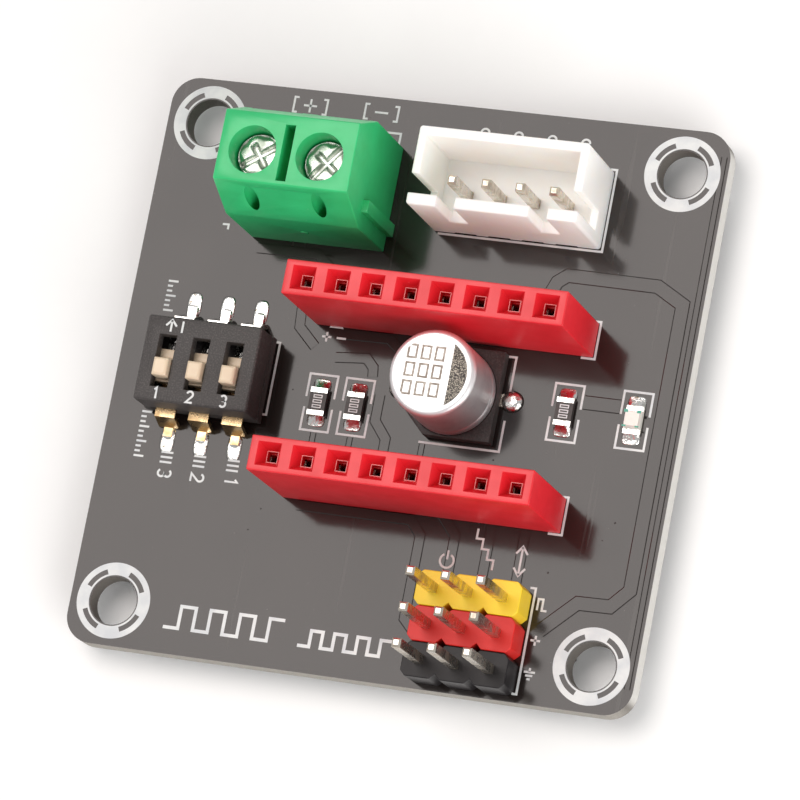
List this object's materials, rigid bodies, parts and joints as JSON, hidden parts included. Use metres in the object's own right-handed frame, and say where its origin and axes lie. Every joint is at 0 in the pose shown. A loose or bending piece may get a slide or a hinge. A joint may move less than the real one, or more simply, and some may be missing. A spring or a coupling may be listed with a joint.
{
  "type": "stepper driver module",
  "caption": "Square carrier board for a plug-in stepper driver, with socket rows, screw terminal, motor plug, DIP switch, capacitor and control pins.",
  "frame": {"origin": "centre of the four mounting holes, on the underside of the board", "axes": "+Z out of the component side; +Y towards the edge with the screw terminal and the motor plug; +X towards the lamp"},
  "size_m": [0.042, 0.042, 0.0131],
  "materials": {
    "board_mask": "gloss black solder mask over glass-epoxy",
    "solder": "bright reflowed tin",
    "socket_red_nylon": "moulded red nylon, satin",
    "tinned_contact": "tin-plated brass",
    "strip_yellow": "moulded yellow nylon",
    "strip_red": "moulded red nylon",
    "strip_black": "moulded black nylon",
    "shroud_white_nylon": "milky white nylon",
    "terminal_green": "moulded green polyamide",
    "screw_steel": "nickel-plated steel",
    "cage_plated": "plated pressed cage",
    "switch_black": "fine-textured black thermoset",
    "slider_cream": "cream moulded slider",
    "gilt_spring_metal": "gold-flashed copper alloy",
    "can_aluminium": "drawn aluminium, satin",
    "capacitor_black": "black moulded foot",
    "seal_rubber": "black rubber bung",
    "resistor_glaze": "black glazed film over ceramic",
    "lamp_board": "white glass-epoxy chip board",
    "lamp_lens": "clear epoxy, faint pink",
    "lamp_chip": "light-giving chip"
  },
  "bodies": {
    "board_assembly": {"board": "board_mask", "capacitor_base": "capacitor_black", "capacitor_can": "can_aluminium", "capacitor_lead_minus": "tinned_contact", "capacitor_lead_plus": "tinned_contact", "capacitor_seal": "seal_rubber", "capacitor_winding": "can_aluminium", "header_black_pins": "tinned_contact", "header_black_strip": "strip_black", "header_red_pins": "tinned_contact", "header_red_strip": "strip_red", "header_yellow_pins": "tinned_contact", "header_yellow_strip": "strip_yellow", "lamp_base": "lamp_board", "lamp_chip": "lamp_chip", "lamp_lens": "lamp_lens", "lamp_terminals": "tinned_contact", "motor_plug_pin_1": "tinned_contact", "motor_plug_pin_2": "tinned_contact", "motor_plug_pin_3": "tinned_contact", "motor_plug_pin_4": "tinned_contact", "motor_plug_shroud": "shroud_white_nylon", "resistor_1_body": "resistor_glaze", "resistor_1_ends": "tinned_contact", "resistor_2_body": "resistor_glaze", "resistor_2_ends": "tinned_contact", "resistor_3_body": "resistor_glaze", "resistor_3_ends": "tinned_contact", "socket_lower_contacts": "tinned_contact", "socket_lower_housing": "socket_red_nylon", "socket_upper_contacts": "tinned_contact", "socket_upper_housing": "socket_red_nylon", "solder_joints_underside": "solder", "switch_base": "switch_black", "switch_cover": "switch_black", "switch_leads_back": "gilt_spring_metal", "switch_leads_front": "gilt_spring_metal", "terminal_contact_left": "tinned_contact", "terminal_contact_right": "tinned_contact", "terminal_housing": "terminal_green"},
    "terminal_screw_left": {"terminal_screw_left": "screw_steel"},
    "terminal_screw_right": {"terminal_screw_right": "screw_steel"},
    "terminal_cage_left": {"terminal_cage_left": "cage_plated"},
    "terminal_cage_right": {"terminal_cage_right": "cage_plated"},
    "switch_slider_1": {"switch_slider_1": "slider_cream", "switch_wiper_1": "gilt_spring_metal"},
    "switch_slider_2": {"switch_slider_2": "slider_cream", "switch_wiper_2": "gilt_spring_metal"},
    "switch_slider_3": {"switch_slider_3": "slider_cream", "switch_wiper_3": "gilt_spring_metal"}
  },
  "joints": [
    {"name": "terminal_screw_left_turn", "type": "hinge", "parent": "board_assembly", "child": "terminal_screw_left", "pos_m": [-0.0104, 0.01353, 0.0096], "axis": [0, 0, -1], "range_deg": [0, 1350]},
    {"name": "terminal_cage_left_rise", "type": "slide", "parent": "board_assembly", "child": "terminal_cage_left", "axis": [0, 0, 1], "range_m": [0, 0.00169]},
    {"name": "terminal_screw_right_turn", "type": "hinge", "parent": "board_assembly", "child": "terminal_screw_right", "pos_m": [-0.0054, 0.01353, 0.0096], "axis": [0, 0, -1], "range_deg": [0, 1350]},
    {"name": "terminal_cage_right_rise", "type": "slide", "parent": "board_assembly", "child": "terminal_cage_right", "axis": [0, 0, 1], "range_m": [0, 0.00169]},
    {"name": "switch_slider_1_slide", "type": "slide", "parent": "board_assembly", "child": "switch_slider_1", "axis": [0, 1, 0], "range_m": [0, 0.00135]},
    {"name": "switch_slider_2_slide", "type": "slide", "parent": "board_assembly", "child": "switch_slider_2", "axis": [0, 1, 0], "range_m": [0, 0.00135]},
    {"name": "switch_slider_3_slide", "type": "slide", "parent": "board_assembly", "child": "switch_slider_3", "axis": [0, 1, 0], "range_m": [0, 0.00135]}
  ],
  "couplings": [
    {"joint": "terminal_screw_left_turn", "follows": "terminal_cage_left_rise", "rad_per_m": 13963},
    {"joint": "terminal_screw_right_turn", "follows": "terminal_cage_right_rise", "rad_per_m": 13963}
  ]
}
